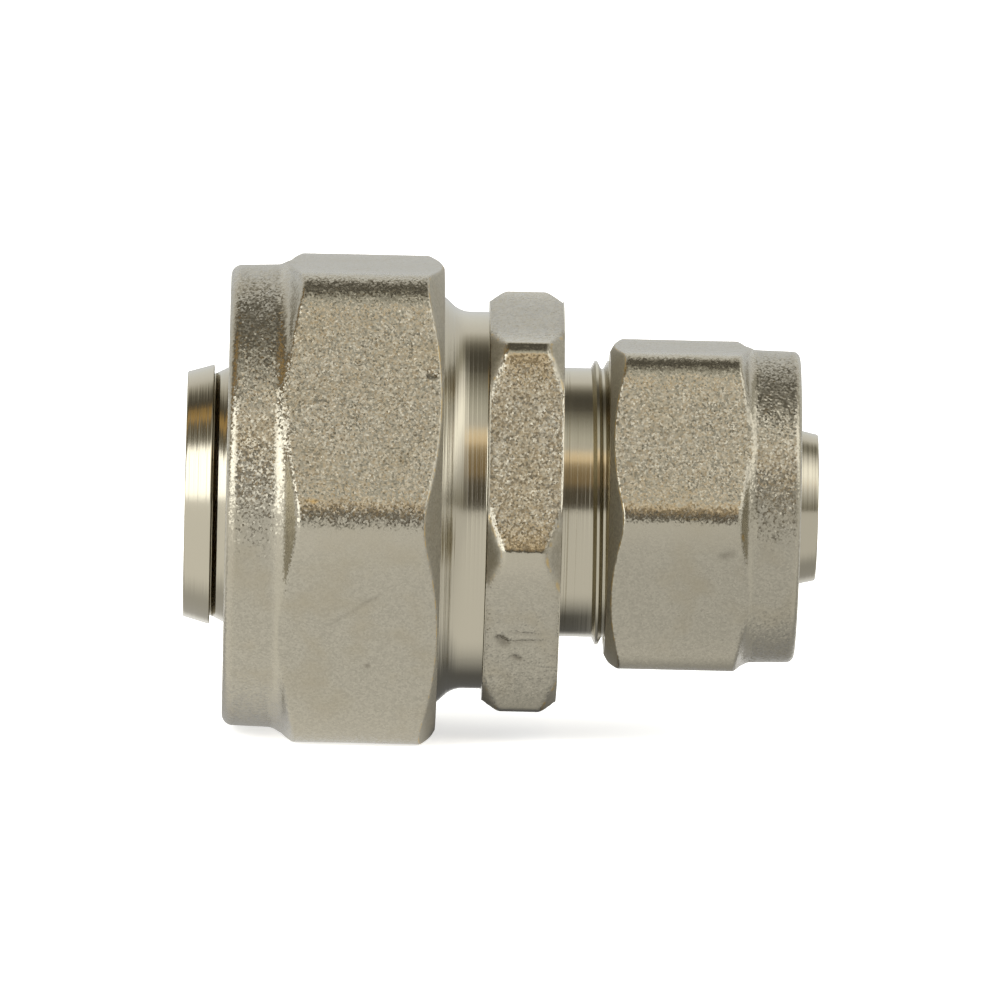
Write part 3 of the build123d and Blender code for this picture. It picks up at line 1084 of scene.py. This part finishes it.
@dataclass
class CouplingBody:
    """One forged and turned piece: hexagon, two threaded barrels and two barbed spigots on one waterway."""

    large: EndSizes
    small: EndSizes
    plate: bpy.types.Material
    apothem: float = 15.0
    corner_radius: float = 1.5
    turn_deg: float = 9.0
    chamfer_deg: float = 42.0
    face_rise: float = 0.8
    hexagon_edge: float = 0.5
    chamfer_polish: float = -2.3
    corner_polish: float = 0.74
    runout_deg: float = 42.0
    turned_edge: float = 0.12
    barb_count: int = 3
    mouth_deg: float = 30.0
    groove_factor: float = 1.2
    thread_land: float = 0.3
    forged_depth: float = 0.04
    forged_size: float = 3.5
    # Knocks in the hexagon; the dark brown in them is painted shade in the hollow, together with grime
    nicks: tuple[Nick, ...] = (
        Nick(x=0.25, angle_deg=221.4, length=1.5, width=0.7, depth=0.26, slant_deg=55.0, knock_shade_and_grime=0.5),
        Nick(x=1.95, angle_deg=221.3, length=2.9, width=0.45, depth=0.1, slant_deg=-3.0, knock_shade_and_grime=0.2),
        Nick(x=2.0, angle_deg=217.7, length=2.4, width=0.4, depth=0.06, slant_deg=4.0, knock_shade_and_grime=0.15),
        Nick(x=1.4, angle_deg=228.0, length=1.0, width=0.5, depth=0.08, slant_deg=30.0, knock_shade_and_grime=0.55),
    )

    def spigot(self, end: EndSizes) -> list[Point]:
        """Outline of one end from the socket's floor to the spigot's tip and into the waterway.

        Args:
            end: Sizes of the end.

        Returns:
            Points that run outward from the hexagon's face.
        """
        crest_r = end.land_r + end.barb_rise
        width = end.seal_section * self.groove_factor
        first_crest = end.tip - end.nose_length
        grip_end = first_crest - (self.barb_count - 1) * end.barb_pitch
        front = grip_end - end.grip_length - width
        rear = front - end.seal_spacing - width
        points = [(end.socket_floor, end.land_r)]
        for start in (rear, front):
            points += [(start, end.land_r), (start, end.groove_r)]
            points += [(start + width, end.groove_r), (start + width, end.land_r)]
        points += [(grip_end, end.land_r), (grip_end, crest_r)]
        for barb in range(1, self.barb_count):
            crest = grip_end + barb * end.barb_pitch
            points += [(crest, crest_r - end.barb_depth), (crest, crest_r)]
        return points + [(end.tip, crest_r - end.nose_drop), (end.tip, end.waterway_r)]

    def barrel(self, end: EndSizes) -> list[Point]:
        """Outline of one end from the hexagon's face over the neck and barrel into the socket.

        Args:
            end: Sizes of the end.

        Returns:
            Points that run outward from the hexagon's face.
        """
        neck_r, root_r = end.thread_r - end.neck_drop, end.thread_r - end.thread.depth
        mouth_r = end.socket_r + end.mouth_rise
        face_r = self.apothem + self.face_rise
        points = [(0.0, face_r), (0.0, face_r - self.hexagon_edge), (0.0, neck_r), (end.neck_length, neck_r)]
        if root_r > neck_r:
            # The run-out curves up to the crest, and the thread is cut down again behind a short land
            for angle in np.radians(np.linspace(0, self.runout_deg, 8)[1:]):
                rise = end.runout_radius * (1 - math.cos(angle))
                points += [(end.neck_length + end.runout_radius * math.sin(angle), neck_r + rise)]
            crest_x = points[-1][0] + (end.thread_r - points[-1][1]) / math.tan(math.radians(self.runout_deg))
            points += [(crest_x, end.thread_r), (crest_x + self.thread_land, end.thread_r)]
            points += [(crest_x + 2 * self.thread_land, root_r)]
        points += [(end.barrel_length - end.barrel_chamfer / 2, root_r)]
        points += [(end.barrel_length, root_r - end.barrel_chamfer / 2), (end.barrel_length, mouth_r)]
        points += [(end.barrel_length - end.mouth_rise / math.tan(math.radians(self.mouth_deg)), end.socket_r)]
        return points + [(end.socket_floor, end.socket_r)]

    def build(self) -> bpy.types.Object:
        """Makes the body's mesh.

        Returns:
            The new object.
        """
        large, small = self.large, self.small
        hexagon = Hexagon(self.apothem, self.corner_radius, self.turn_deg, Corner.FLAT)
        columns = [hexagon.columns(14, 21)] + [nick.columns(self.apothem) for nick in self.nicks]
        ring = RingMesh(np.concatenate(columns))
        shoulder = large.face + large.waterway_r - small.waterway_r
        waterway = [(shoulder, small.waterway_r), (large.face, large.waterway_r)]
        left = large.place((self.barrel(large) + self.spigot(large)))[::-1]
        right = small.place(self.barrel(small) + self.spigot(small))
        ring.add_outline(soften(waterway + left, self.turned_edge))
        flat_r = hexagon.radius(ring.angles)
        face_r = self.apothem + self.face_rise
        slope = 1 / math.tan(math.radians(self.chamfer_deg))
        for x in np.linspace(large.face, small.face, 66)[1:-1]:
            cone = face_r + slope * min(x - large.face, small.face - x)
            radius = soft_min(flat_r, np.array(cone), np.array(self.hexagon_edge))
            on_cone = np.clip(0.5 + (flat_r - cone) / self.hexagon_edge, 0.0, 1.0)
            polish = self.corner_polish * hexagon.roundness(ring.angles)
            turned = polish + (self.chamfer_polish - polish) * on_cone
            worn = 0.8 * np.clip(1 - np.abs(flat_r - cone) / self.hexagon_edge, 0.0, 1.0)
            ring.add_row(x, radius, turned, worn, self.nicks, self.apothem)
        ring.add_outline(soften(right + [(shoulder, small.waterway_r)], self.turned_edge)[:-1])
        ring.unevenness(self.forged_depth, self.forged_size)
        piece = ring.build("forged_body", self.plate)
        dress(piece, "body", Slot.PLATED, "body")
        return piece

    def build_thread(self, end: EndSizes, tree: ThreadTree) -> bpy.types.Object:
        """Makes the male thread of one barrel.

        Args:
            end: Sizes of the end.
            tree: Geometry nodes that sweep the ridge.

        Returns:
            The new object.
        """
        reach = (end.thread_start, end.barrel_length - end.barrel_chamfer / 2)
        ends = [end.face + end.side.value * x for x in reach]
        piece = end.thread.outside(tree, f"{end.name}_barrel_thread", min(ends), max(ends), end.thread_r, self.plate)
        dress(piece, "body", Slot.PLATED)
        return piece


@dataclass
class InnerPieces:
    """Split rings, seals and washers: their CAD solids stay, and get their finishes."""

    brass: bpy.types.Material
    rubber: bpy.types.Material
    ptfe: bpy.types.Material

    def finish(self) -> None:
        """Gives each inner node its material."""
        for name, node in frame["nodes"].items():
            for key, material in (("split_ring", self.brass), ("o_ring", self.rubber), ("washer", self.ptfe)):
                if name.endswith(key):
                    node.data.materials.clear()
                    node.data.materials.append(material)
                    LOG.info("%s: %s", name, material.name)


@dataclass(frozen=True)
class PhotoCamera:
    """Camera at the photograph's viewing angle, far off with a long lens."""

    azimuth_deg: float = -0.8
    elevation_deg: float = 6.1
    roll_deg: float = 1.35
    distance: float = 1300.0
    px_per_mm: float = 12.69
    image_px: float = 1000.0
    origin_px: Point = (500.8, 500.6)
    sensor: float = 36.0

    def build(self) -> None:
        """Makes the scene's camera."""
        azimuth, elevation, roll = (math.radians(v) for v in (self.azimuth_deg, self.elevation_deg, self.roll_deg))
        level = math.cos(elevation)
        back = Vector((math.sin(azimuth) * level, -math.cos(azimuth) * level, math.sin(elevation)))
        right = Vector((math.cos(azimuth), math.sin(azimuth), 0.0))
        up = back.cross(right)
        right, up = right * math.cos(roll) + up * math.sin(roll), up * math.cos(roll) - right * math.sin(roll)
        middle = self.image_px / 2
        aim = right * (middle - self.origin_px[0]) + up * (self.origin_px[1] - middle)
        eye = (aim / self.px_per_mm + back * self.distance) * MM
        data = bpy.data.cameras.new("photo_camera")
        data.sensor_width = self.sensor
        data.lens = self.sensor * self.px_per_mm * self.distance / self.image_px
        data.clip_start, data.clip_end = 0.01, 20.0
        camera = link(bpy.data.objects.new("photo_camera", data))
        camera.matrix_world = Matrix.Translation(eye) @ Matrix((right, up, back)).transposed().to_4x4()
        bpy.context.scene.camera = camera


@dataclass(frozen=True)
class Panel:
    """Soft light panel that faces the object and lights the floor; the metal mirrors the room instead."""

    name: str
    azimuth_deg: float
    elevation_deg: float
    distance: float
    width: float
    height: float
    level: float
    colour: str = "#FFFFFF"

    def build(self) -> None:
        """Makes the lamp, at a brightness that does not depend on its size."""
        azimuth, elevation = math.radians(self.azimuth_deg), math.radians(self.elevation_deg)
        level = math.cos(elevation)
        away = Vector((math.sin(azimuth) * level, -math.cos(azimuth) * level, math.sin(elevation)))
        data = bpy.data.lights.new(self.name, "AREA")
        data.shape = "RECTANGLE"
        data.size, data.size_y = self.width * MM, self.height * MM
        data.energy = self.level * math.pi * data.size * data.size_y
        data.color = linear(self.colour)[:3]
        lamp = link(bpy.data.objects.new(self.name, data))
        lamp.location = away * self.distance * MM
        lamp.rotation_mode = "QUATERNION"
        lamp.rotation_quaternion = (-away).to_track_quat("-Z", "Y")
        lamp.visible_camera = False
        lamp.visible_glossy = False


Band = tuple[float, float, str]


@dataclass(frozen=True)
class Studio:
    """White floor in a room, with bright windows at both sides.

    The room is what the metal mirrors: a dark room behind the camera, a warm strip light with a pale wall above
    it, a dark ceiling and a bright wall behind the coupling. The left end looks at a low window, and the right
    end at a high one.
    """

    floor_colour: str = "#F3F3F1"
    camera_glow: float = 0.6
    mirror_level: float = 0.8
    floor_width: float = 6000.0
    shadow_middle: Point = (1.0, 2.0)
    shadow_ends: Point = (5.0, 10.0)
    shadow_sides: Point = (4.0, 13.5)
    shadow_levels: Point = (0.15, 0.56)
    window_falloff: Point = (1.3, 1.04)
    window_reach: float = 20.0
    # Degrees over the coupling from the front horizon to the back one, brightness there, and tint
    room: tuple[Band, ...] = (
        (0.0, 0.11, "#FFEFD6"),
        (18.0, 0.13, "#FFEFD6"),
        (22.0, 0.4, "#FFDDA6"),
        (29.0, 0.4, "#FFDDA6"),
        (35.0, 0.47, "#FFE1B0"),
        (39.0, 0.62, "#FFE3B8"),
        (41.5, 1.5, "#FFE6C0"),
        (49.0, 1.55, "#FFEED2"),
        (52.0, 0.95, "#FFFFFF"),
        (62.0, 0.93, "#FFFFF8"),
        (72.0, 0.7, "#FFFFF8"),
        (82.0, 0.42, "#FFFCF0"),
        (92.0, 0.14, "#FFF8E8"),
        (107.0, 0.12, "#FFF8E8"),
        (116.0, 0.24, "#FFF8E8"),
        (124.0, 0.68, "#FFFCF4"),
        (131.0, 1.2, "#FFFFFF"),
        (150.0, 1.24, "#FCFEFF"),
        (165.0, 1.12, "#FAFDFF"),
        (180.0, 0.86, "#FAFDFF"),
    )
    left_wall: tuple[Band, ...] = (
        (0.0, 2.0, "#FCFDFF"),
        (7.0, 3.5, "#FAFCFF"),
        (50.0, 3.6, "#FAFCFF"),
        (57.0, 0.35, "#FFF8E8"),
        (68.0, 0.2, "#FFF4DC"),
        (78.0, 0.24, "#FFE9C0"),
        (84.0, 0.85, "#FFD48A"),
        (93.0, 0.62, "#FFD48A"),
        (100.0, 0.1, "#FFF8E8"),
        (113.0, 0.24, "#FFF8E8"),
        (126.0, 0.75, "#FFFCF4"),
        (140.0, 1.1, "#FFFFFF"),
        (180.0, 0.95, "#F8FCFF"),
    )
    right_wall: tuple[Band, ...] = (
        (0.0, 0.35, "#FFF8E8"),
        (8.0, 0.5, "#FFFCF0"),
        (27.0, 1.0, "#FFFFFF"),
        (45.0, 1.7, "#FFFFFF"),
        (58.0, 2.2, "#FFFFFF"),
        (72.0, 2.2, "#FFFFFF"),
        (90.0, 1.5, "#FFFFFF"),
        (106.0, 0.65, "#FFFCF0"),
        (118.0, 0.55, "#FFFCF0"),
        (136.0, 1.1, "#FFFFFF"),
        (180.0, 1.0, "#F8FCFF"),
    )
    wall_reach: Point = (0.11, 0.45)
    panels: tuple[Panel, ...] = (
        Panel("left_window", -46.0, 26.0, 1300.0, 900.0, 1150.0, 2.4),
        Panel("right_window", 54.0, 42.0, 1300.0, 850.0, 900.0, 1.7),
        Panel("overhead", 0.0, 89.0, 1200.0, 900.0, 900.0, 1.6),
    )

    def build(self) -> None:
        """Makes the floor, the lamps and the world."""
        self.build_floor()
        for panel in self.panels:
            panel.build()
        self.build_world()
        bpy.context.scene.view_settings.view_transform = "Standard"

    def ramp(self, tree: bpy.types.NodeTree, degrees: bpy.types.NodeSocket,
             bands: tuple[Band, ...]) -> bpy.types.NodeSocket:
        """Adds a colour ramp over an angle.

        Args:
            tree: Node tree that gets the ramp.
            degrees: Socket that holds the angle.
            bands: Angles in rising order, each with a brightness and a tint.

        Returns:
            The ramp's colour.
        """
        share = add_node(tree, "ShaderNodeMapRange", {"Value": degrees, "From Max": bands[-1][0]})
        node = add_node(tree, "ShaderNodeValToRGB", {"Fac": share.outputs["Result"]})
        stops = node.color_ramp.elements
        for angle, _, _ in bands[1:-1]:
            stops.new(angle / bands[-1][0])
        for stop, (_, level, tint) in zip(stops, bands):
            stop.color = [level * v for v in linear(tint)[:3]] + [1.0]
        return node.outputs["Color"]

    def build_floor(self) -> None:
        """Makes the floor under the lowest point of the coupling."""
        half, low = self.floor_width / 2 * MM, CAD_BOX[0][2]
        mesh = bpy.data.meshes.new("floor")
        mesh.from_pydata([(-half, -half, low), (half, -half, low), (half, half, low), (-half, half, low)], [],
                         [(0, 1, 2, 3)])
        material, tree = new_material("matt_white_floor")
        path = add_node(tree, "ShaderNodeLightPath").outputs
        strength = add_node(tree, "ShaderNodeMath", {
            0: path["Is Camera Ray"], 1: self.camera_glow,
        }, operation="MULTIPLY")
        matt = add_node(tree, "ShaderNodeBsdfDiffuse", {"Color": linear(self.floor_colour)})
        glow = add_node(tree, "ShaderNodeEmission", {"Strength": strength.outputs[0]})
        white = add_node(tree, "ShaderNodeAddShader", {0: matt.outputs[0], 1: glow.outputs[0]})
        # In the metal the floor is brighter towards the left window, and darkest in the shadow under the necks
        place = add_node(tree, "ShaderNodeSeparateXYZ", {
            "Vector": add_node(tree, "ShaderNodeTexCoord").outputs["Object"],
        }).outputs
        window = add_node(tree, "ShaderNodeMapRange", {
            "Value": place["X"], "From Min": -self.window_reach * MM, "From Max": self.window_reach * MM,
            "To Min": self.window_falloff[0], "To Max": self.window_falloff[1],
        })
        aside, away = (
            add_node(tree, "ShaderNodeMath", {
                0: add_node(tree, "ShaderNodeMath", {0: place[axis], 1: middle * MM}, operation="SUBTRACT").outputs[0],
            }, operation="ABSOLUTE").outputs[0]
            for axis, middle in zip("XY", self.shadow_middle)
        )
        darkest = add_node(tree, "ShaderNodeMapRange", {
            "Value": aside, "From Min": self.shadow_ends[0] * MM, "From Max": self.shadow_ends[1] * MM,
            "To Min": self.shadow_levels[0], "To Max": self.shadow_levels[1],
        }, interpolation_type="SMOOTHSTEP")
        shadow = add_node(tree, "ShaderNodeMapRange", {
            "Value": away, "From Min": self.shadow_sides[0] * MM, "From Max": self.shadow_sides[1] * MM,
            "To Min": darkest.outputs["Result"], "To Max": 1.0,
        }, interpolation_type="SMOOTHSTEP")
        level = add_node(tree, "ShaderNodeMath", {
            0: window.outputs["Result"], 1: shadow.outputs["Result"],
        }, operation="MULTIPLY")
        dimmed = add_node(tree, "ShaderNodeMath", {0: level.outputs[0], 1: self.mirror_level}, operation="MULTIPLY")
        mirrored = add_node(tree, "ShaderNodeMath", {
            0: path["Is Glossy Ray"], 1: path["Is Transmission Ray"],
        }, operation="MAXIMUM")
        both = add_node(tree, "ShaderNodeMixShader", {
            "Fac": mirrored.outputs[0],
            1: white.outputs[0],
            2: add_node(tree, "ShaderNodeEmission", {"Strength": dimmed.outputs[0]}).outputs[0],
        })
        add_node(tree, "ShaderNodeOutputMaterial", {"Surface": both.outputs[0]})
        mesh.materials.append(material)
        link(bpy.data.objects.new("floor", mesh))

    def build_world(self) -> None:
        """Makes the room: bands over the coupling, walls at its two ends, and plain white for the camera."""
        world = bpy.data.worlds.new("studio_room")
        bpy.context.scene.world = world
        world.use_nodes = True
        tree = world.node_tree
        tree.nodes.clear()
        way = add_node(tree, "ShaderNodeSeparateXYZ", {
            "Vector": add_node(tree, "ShaderNodeTexCoord").outputs["Generated"],
        }).outputs
        front = add_node(tree, "ShaderNodeMath", {0: way["Y"], 1: -1.0}, operation="MULTIPLY")
        over = add_node(tree, "ShaderNodeMath", {0: way["Z"], 1: front.outputs[0]}, operation="ARCTAN2")
        over_degrees = add_node(tree, "ShaderNodeMath", {0: over.outputs[0]}, operation="DEGREES")
        room = self.ramp(tree, over_degrees.outputs[0], self.room)
        for side, bands in ((Side.LARGE, self.left_wall), (Side.SMALL, self.right_wall)):
            sideways = add_node(tree, "ShaderNodeMapRange", {
                "Value": way["X"],
                "From Min": side.value * self.wall_reach[0], "From Max": side.value * self.wall_reach[1],
            }, interpolation_type="SMOOTHSTEP")
            room = add_node(tree, "ShaderNodeMix", {
                "Factor": sideways.outputs["Result"],
                6: room,
                7: self.ramp(tree, over_degrees.outputs[0], bands),
            }, data_type="RGBA").outputs[2]
        path = add_node(tree, "ShaderNodeLightPath").outputs
        seen = add_node(tree, "ShaderNodeMix", {
            "Factor": path["Is Camera Ray"], 6: room, 7: (1.0, 1.0, 1.0, 1.0),
        }, data_type="RGBA")
        strength = add_node(tree, "ShaderNodeMapRange", {
            "Value": path["Is Glossy Ray"], "To Min": 1.0, "To Max": self.mirror_level,
        })
        light = add_node(tree, "ShaderNodeBackground", {
            "Color": seen.outputs[2], "Strength": strength.outputs["Result"],
        })
        add_node(tree, "ShaderNodeOutputWorld", {"Surface": light.outputs[0]})


LARGE_END = EndSizes(
    name="large",
    side=Side.LARGE,
    pipe_od=26.0,
    pipe_wall=3.0,
    socket_floor=2.2,
    neck_length=1.5,
    neck_drop=1.65,
    runout_radius=2.0,
    thread_start=4.4,
    barrel_length=14.0,
    barrel_wall=3.3,
    barrel_chamfer=0.8,
    mouth_rise=1.4,
    seal_section=1.78,
    seal_proud=0.3,
    seal_spacing=2.0,
    groove_wall=0.77,
    grip_length=4.0,
    barb_pitch=1.5,
    barb_rise=0.25,
    barb_depth=0.75,
    nose_length=2.12,
    nose_drop=0.6,
    spigot_proud=3.25,
    nut_gap=3.6,
    nut_end_wall=2.45,
    nut_wall=1.85,
    nut_countersink=0.6,
    nut_corner_radius=4.5,
    nut_corner_polish=0.38,
    nut_face_inset=0.3,
    collar_length=3.56,
    collar_drop=0.25,
    collar_blend=1.4,
    rim_radius=0.9,
    hole_chamfer=0.5,
    thread=Thread(pitch=1.5, depth=0.9, clearance=0.15, fade_turns=0.4),
    # Knocks and rubbed places in the nut; the dark brown in the knocks is painted shade in the hollow, together with
    # grime
    nut_nicks=(
        Nick(x=-11.3, angle_deg=201.8, length=5.5, width=0.32, depth=0.06, slant_deg=-36.0, knock_shade_and_grime=0.16),
        Nick(x=-10.2, angle_deg=199.2, length=1.6, width=0.4, depth=0.06, slant_deg=-30.0, knock_shade_and_grime=0.22),
        Nick(x=-5.9, angle_deg=142.4, length=0.9, width=0.55, depth=0.12, slant_deg=20.0, knock_shade_and_grime=0.5),
        Nick(x=-10.3, angle_deg=218.6, length=0.5, width=0.4, depth=0.1, slant_deg=0.0, knock_shade_and_grime=0.45),
        Nick(x=-17.6, angle_deg=122.5, length=0.7, width=0.4, depth=0.0, slant_deg=0.0, worn=1.0),
        Nick(x=-20.5, angle_deg=138.0, length=3.8, width=0.4, depth=0.0, slant_deg=90.0, worn=0.9),
        Nick(x=-14.6, angle_deg=175.0, length=2.4, width=0.7, depth=0.0, slant_deg=0.0, worn=0.66),
    ),
)

SMALL_END = EndSizes(
    name="small",
    side=Side.SMALL,
    pipe_od=16.0,
    pipe_wall=2.0,
    socket_floor=1.6,
    neck_length=1.95,
    neck_drop=0.6,
    runout_radius=0.4,
    thread_start=2.3,
    barrel_length=12.2,
    barrel_wall=3.0,
    barrel_chamfer=0.6,
    mouth_rise=1.2,
    seal_section=1.2,
    seal_proud=0.2,
    seal_spacing=1.5,
    groove_wall=0.9,
    grip_length=3.5,
    barb_pitch=1.2,
    barb_rise=0.12,
    barb_depth=0.5,
    nose_length=1.65,
    nose_drop=0.37,
    spigot_proud=1.55,
    nut_gap=3.7,
    nut_end_wall=2.85,
    nut_wall=1.15,
    nut_countersink=0.3,
    nut_corner_radius=3.2,
    nut_corner_polish=0.58,
    nut_face_inset=0.6,
    collar_length=3.39,
    collar_drop=0.15,
    collar_blend=1.0,
    rim_radius=0.6,
    hole_chamfer=0.4,
    thread=Thread(pitch=1.0, depth=0.6, clearance=0.12, fade_turns=0.3),
    # Rubbed places and a knock in the nut; the dark brown in the knock is painted shade in the hollow, together with
    # grime
    nut_nicks=(
        Nick(x=15.0, angle_deg=178.5, length=6.5, width=0.3, depth=0.0, slant_deg=0.0, worn=0.75),
        Nick(x=18.8, angle_deg=184.7, length=0.8, width=0.35, depth=0.0, slant_deg=80.0, worn=1.0),
        Nick(x=17.6, angle_deg=191.0, length=1.4, width=0.7, depth=0.05, slant_deg=-20.0, knock_shade_and_grime=0.3),
    ),
)


def main() -> None:
    """Builds the coupling, its finishes and the studio."""
    logging.basicConfig(level=logging.INFO, format="%(message)s")
    plate = NickelPlate().material()
    tree = ThreadTree()
    body = CouplingBody(LARGE_END, SMALL_END, plate)
    body.build()
    for end in (LARGE_END, SMALL_END):
        body.build_thread(end, tree)
        nut = UnionNut(end, plate)
        nut.build()
        nut.build_thread(tree)
    InnerPieces(
        brass=TurnedBrass().material(),
        rubber=MouldedPolymer("moulded_epdm_rubber", "#1E1D1C", "#3A3835", 0.55).material(),
        ptfe=MouldedPolymer("pressed_ptfe", "#EDECE6", "#D9D7CE", 0.45).material(),
    ).finish()
    Studio().build()
    PhotoCamera().build()


if __name__ == "__main__":
    main()
